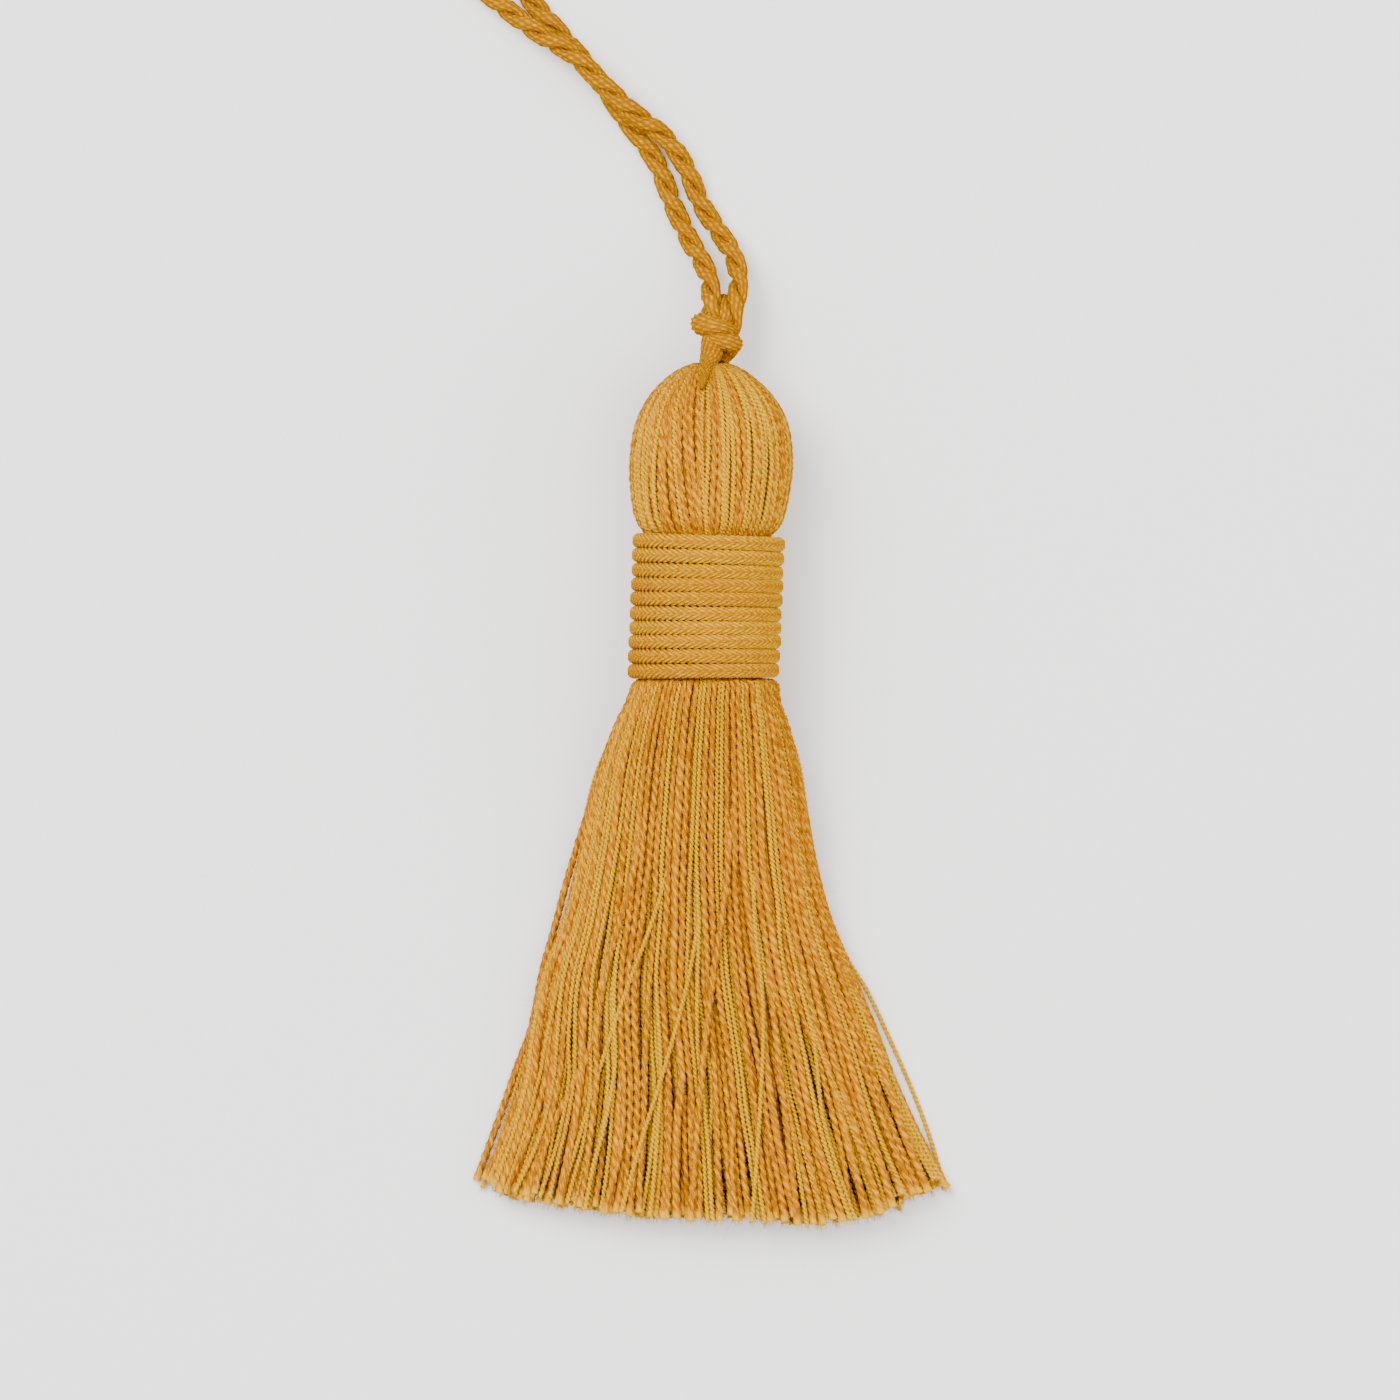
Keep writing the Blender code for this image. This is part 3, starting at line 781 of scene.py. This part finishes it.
def head_yarns(order, first):
    """Kind and angle of each yarn of an order laid over half a turn, each as wide as it is."""
    widths = [KINDS[mark]["radius"] * HEAD_SQUEEZE[mark] for mark in order]
    ends = np.cumsum(widths) / sum(widths)
    middles = ends - np.array(widths) / sum(widths) / 2
    return [(mark, first + math.pi * share) for mark, share in zip(order, middles)]


def build_head(soft, shiny, core, rng):
    tubes = {"a": Tubes(), "g": Tubes()}
    for mark, angle in head_yarns(HEAD_TOP, 0.0) + head_yarns(HEAD_UNDER, math.pi):
        kind = KINDS[mark]
        route = []
        size = kind["radius"] * HEAD_SQUEEZE[mark]
        sunk = rng.uniform(0.0, HEAD_SINKING)
        slant = SLANT * math.exp(-(((angle - SLANT_ANGLE) / SLANT_SPREAD) ** 2))
        phase = rng.uniform(0, TURN)
        for row in HEAD_ROWS + NECK_ROWS:
            middle, y, reach, height = head_section(row, size * HEAD_SEAT + sunk)
            down = (HEAD_ROWS[0][0] - y) / (HEAD_ROWS[0][0] - NECK_ROWS[-1][0])
            turned = angle + slant * (down - SLANT_PIVOT) + HEAD_WANDER * math.sin(phase + HEAD_BENDS * down)
            z = height + reach * math.sin(turned)
            route.append((middle + reach * math.cos(turned), y, max(z, size * FLOOR_PRESS)))
        path = even_course(route, kind["spacing"])
        out = np.array([math.cos(angle), HEAD_OUT_LEAN, math.sin(angle)])
        crowd = HEAD_SQUEEZE[mark] * np.interp(lengths(path), *HEAD_CROWDING)
        tubes[mark].add_yarn(path, out, kind, rng.random(), rng.uniform(0, TURN), crowd)
    head = tubes["a"].make("head_soft_yarns", soft, "yarn")
    tubes["g"].make("head_shiny_yarns", shiny, "yarn")
    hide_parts("head_and_skirt")
    build_core(core)


def build_core(finish):
    """The inner yarns of head and neck, seen only as depth between the outer ones."""
    angles = TURN * np.arange(CORE_SIDES) / CORE_SIDES
    rings = []
    for row in HEAD_ROWS + NECK_ROWS + [CORE_END]:
        middle, y, reach, height = head_section(row, CORE_DEPTH)
        z = np.maximum(height + reach * np.sin(angles), CORE_FLOOR)
        rings.append(np.stack([middle + reach * np.cos(angles), np.full(CORE_SIDES, y), z], axis=1))
    rings = np.array(rings)
    tubes = Tubes()
    values = np.zeros((*rings.shape[:2], 3))
    around = np.repeat(np.arange(CORE_SIDES + 1)[None] * 1.0, len(rings), axis=0)
    along = np.repeat(rings[:, :1, 1], CORE_SIDES + 1, axis=1)
    tubes.add_rings(rings, values, around, along)
    tubes.make("inner_yarns", finish, "yarn")


# Skirt


def sheet_marks(count, rng):
    """Kinds of the yarns across a sheet, in short runs of one kind."""
    marks = ""
    while len(marks) < count:
        marks += "a" * rng.integers(1, 4) + "g" * rng.integers(1, 4)
    return marks[:count]


def loosened(y):
    """How freely the yarns lie at a height, from 0 at the neck to 1."""
    return np.clip((NECK_BOTTOM - y) / LOOSE_BELOW, 0, 1) ** LOOSENING


def outline(section, inset, upper):
    """The upper or lower half of a section drawn in: its half width, height, shape and distance along it."""
    y, left, right, _, rise, drop, squareness = section
    power = UPPER_SQUARENESS[0] + UPPER_SQUARENESS[1] * squareness if upper else squareness
    angle = np.linspace(0, math.pi, OUTLINE_POINTS)
    across = -np.sign(np.cos(angle)) * np.abs(np.cos(angle)) ** (2 / power)
    up = np.maximum(np.sin(angle), 0.0) ** (2 / power)
    half = (right - left) / 2 - inset * (1 - NARROWING * loosened(y))
    if upper:
        height = rise - inset
    else:
        half = half - LOWER_NARROWING * loosened(y)
        height = inset - drop
    size = (float(np.mean(half)), abs(float(np.mean(height))))
    return half, height, across, up, lengths(np.stack([across * size[0], up * size[1]], axis=1))


def spaced(way, radii, whole):
    """Places along a sheet, moved apart until no two yarns lie nearer than they may."""
    least = PRESSED * (radii[1:] + radii[:-1])
    least = least * min(1.0, SHEET_FILL * (whole - radii[0] - radii[-1]) / least.sum())
    way = way.copy()
    for _ in range(SPACING_ROUNDS):
        short = np.clip(least - np.diff(way), 0, None) / 2
        way[:-1] -= short
        way[1:] += short
        way = np.clip(way, radii[0], whole - radii[-1])
    return way


def hung(inset, way, radii, above):
    """Insets of a sheet's yarns, kept clear of the yarns in the sheets above it."""
    for other_inset, other_way, other_radii in above:
        clearance = PRESSED * (radii[:, None] + other_radii[None])
        across = np.minimum(np.abs(way[:, None] - other_way[None]), clearance)
        inset = np.maximum(inset, (other_inset[None] + np.sqrt(clearance**2 - across**2)).max(axis=1))
    return inset


def skirt_levels():
    """Sections from inside the neck down to the cut ends."""
    neck = neck_centre(NECK_BOTTOM)
    ring = (neck - NECK_RADIUS, neck + NECK_RADIUS, AXIS_HEIGHT, NECK_RADIUS, NECK_RADIUS, 2.0)
    inside = [(NECK_BOTTOM + rise, *ring) for rise in ROOTS]
    return inside + [tuple(row) for row in even_course(SKIRT_SECTIONS, SECTION_STEP)]


def lay_sheet(levels, marks, radii, depth, upper, above, rng):
    """Middle lines of a sheet's yarns through all levels. above keeps what lies over it at each level."""
    widths = radii / radii.sum()
    shares = np.cumsum(widths) - widths / 2
    sway = rng.uniform(*SWAY_LENGTHS, len(radii)), rng.uniform(0, TURN, len(radii))
    sink = rng.uniform(*SINKING_LENGTHS, len(radii)), rng.uniform(0, TURN, len(radii))
    points = []
    for level, section in enumerate(levels):
        y, left, right, middle = section[:4]
        loose = loosened(y)
        nominal = SHEET_TOP + SHEET_STEP * depth
        _, _, across, up, way = outline(section, nominal, upper)
        shift = OWN_SWAY * np.sin(y / sway[0] + sway[1])
        for width, length, reach, start in WAVES:
            place = shares * SKIRT_SPAN / width + y / length
            shift += reach * np.sin(TURN * place + start + WAVE_TURN * depth)
        places = spaced(shares * way[-1] + loose * shift, radii, way[-1])
        inset = nominal + loose * (OWN_SINKING * (1 + np.sin(y / sink[0] + sink[1])) - GAP_RISE * (depth > 0))
        if upper and depth <= UPPER_SHOWN:
            inset = hung(inset, places, radii, above[level])
            above[level].append((inset, places, radii))
        half, height = outline(section, inset, upper)[:2]
        x = (left + right) / 2 + half * np.interp(places, way, across)
        z = middle + height * np.interp(places, way, up)
        points.append(np.stack([x, np.full_like(x, y), np.maximum(z, FLOOR_PRESS * radii)], axis=1))
    return np.stack(points, axis=1)


def cut_end(x, unevenness):
    """Y at which a yarn is cut."""
    xs, ys = zip(*CUT_LINE)
    return float(np.interp(x, xs, ys)) + CUT_UNEVENNESS * unevenness**2


def rider_route(route, levels):
    """Points of a yarn on top of the skirt, the first one between the yarns of the outermost sheet."""
    table = np.array(levels)[::-1]
    points = []
    for number, (x, y) in enumerate(route):
        left, right, middle, rise = (np.interp(y, table[:, 0], table[:, column]) for column in range(1, 5))
        across = (2 * x - left - right) / (right - left)
        height = middle + rise * math.sqrt(1 - across**2) + (RIDER_HEIGHT if number else RIDER_START)
        points.append((x, y, height))
    return points


def cut_path(rows, kind, rng):
    """A yarn's middle line down to where it is cut."""
    path = even_course(rows, kind["spacing"])
    end = cut_end(np.interp(CUT_AT, -path[:, 1], path[:, 0]), rng.random())
    return path[path[:, 1] > end]


def build_skirt(soft, shiny, rng):
    """All sheets of yarns. Returns each yarn's kind, middle line, whether it is plain, and thickness."""
    levels = skirt_levels()
    above = [[] for _ in levels]
    rows = []
    for upper, counts, shown in ((True, UPPER_COUNTS, UPPER_SHOWN), (False, LOWER_COUNTS, LOWER_SHOWN)):
        for depth, count in enumerate(counts):
            plain = depth >= shown
            marks = "a" * count if plain else sheet_marks(count, rng)
            if upper and depth == 0:
                marks = TOP_MARKS
            thick = rng.uniform(*THICKNESSES, count)
            radii = thick * np.array([KINDS[mark]["radius"] for mark in marks])
            points = lay_sheet(levels, marks, radii, depth, upper, above, rng)
            for mark, line, share in zip(marks, points, thick):
                rows.append((mark, cut_path(line, KINDS[mark], rng), plain, share))
    routes = STRAYS + [(mark, rider_route(route, levels)) for mark, route in RIDERS]
    for mark, route in routes:
        rows.append((mark, even_course(route, KINDS[mark]["spacing"]), False, LOOSE_THICKNESS))
    for mark, finish, name in (("a", soft, "skirt_soft"), ("g", shiny, "skirt_shiny")):
        kind = KINDS[mark]
        tubes, number = Tubes(), 1
        for row_mark, path, plain, share in rows:
            if row_mark != mark:
                continue
            if plain:
                path = even_course(path[:: round(HIDDEN_SPACING / kind["spacing"])], HIDDEN_SPACING)
            swell = share * np.interp(lengths(path)[-1] - lengths(path), *END_SWELL)
            swell = swell * np.interp(path[:, 1], *NECK_PRESS)
            tint, phase = rng.random(), rng.uniform(0, TURN)
            tubes.add_yarn(path, UPWARDS, kind, tint, phase, swell, cut=True, plain=plain)
            if tubes.triangles > PIECE_LIMIT:
                tubes.make(f"{name}_{number}", finish, "yarn")
                tubes, number = Tubes(), number + 1
        tubes.make(f"{name}_{number}", finish, "yarn")
    return rows


# Loose fibres


def build_fibres(rows, finish, rng):
    """Fine fibres that stand off the soft yarns, and short ones at the cut ends."""
    tubes = Tubes()
    shown = [path for mark, path, _, _ in rows[: UPPER_COUNTS[0] + UPPER_COUNTS[1] // 2] if mark == "a"]
    for _ in range(FUZZ):
        path = shown[rng.integers(len(shown))]
        start = path[int(len(path) * rng.uniform(*FUZZ_PLACES) ** FUZZ_CROWDING) - 1]
        heading = unit(np.array([rng.normal(), rng.normal() - FUZZ_DOWN, abs(rng.normal()) * FUZZ_LIFT]))
        curl = unit(rng.normal(size=3))
        reach = rng.uniform(*FUZZ_REACH)
        share = np.linspace(0, 1, FUZZ_POINTS)[:, None]
        points = start + FUZZ_ROOT * heading + reach * (share * heading + FUZZ_CURL * share**2 * curl)
        points[:, 2] = np.maximum(points[:, 2], HAIR_FLOOR)
        tubes.add_yarn(points, HAIR_UP, HAIR, rng.random(), 0.0, np.linspace(*FUZZ_TAPER, FUZZ_POINTS))
    for mark, path, plain, share in rows:
        if plain:
            continue
        ahead = unit(path[-1] - path[-4])
        spread = share * KINDS[mark]["radius"]
        for _ in range(FRAY_A_YARN):
            start = path[-1] + spread * rng.uniform(-FRAY_WITHIN, FRAY_WITHIN, size=3) * FRAY_SHAPE
            heading = unit(ahead + rng.normal(size=3) * FRAY_SPREAD)
            reach = rng.uniform(*FRAY_REACH)
            points = start + heading * np.linspace(FRAY_ROOT, reach, FRAY_POINTS)[:, None]
            points[:, 2] = np.maximum(points[:, 2], HAIR_FLOOR)
            tubes.add_yarn(points, HAIR_UP, HAIR, rng.random(), 0.0, np.linspace(*FRAY_TAPER, FRAY_POINTS))
    tubes.make("loose_fibres", finish, "yarn")


def main():
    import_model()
    rng = np.random.default_rng(SEED)
    soft, shiny, braid, rope = (yarn_finish(*row) for row in FINISHES)
    add_camera()
    build_cord(rope)
    build_knot(rope)
    build_binding(braid)
    build_head(soft, shiny, soft, rng)
    rows = build_skirt(soft, shiny, rng)
    build_fibres(rows, soft, rng)
    add_floor()
    add_lights()


main()
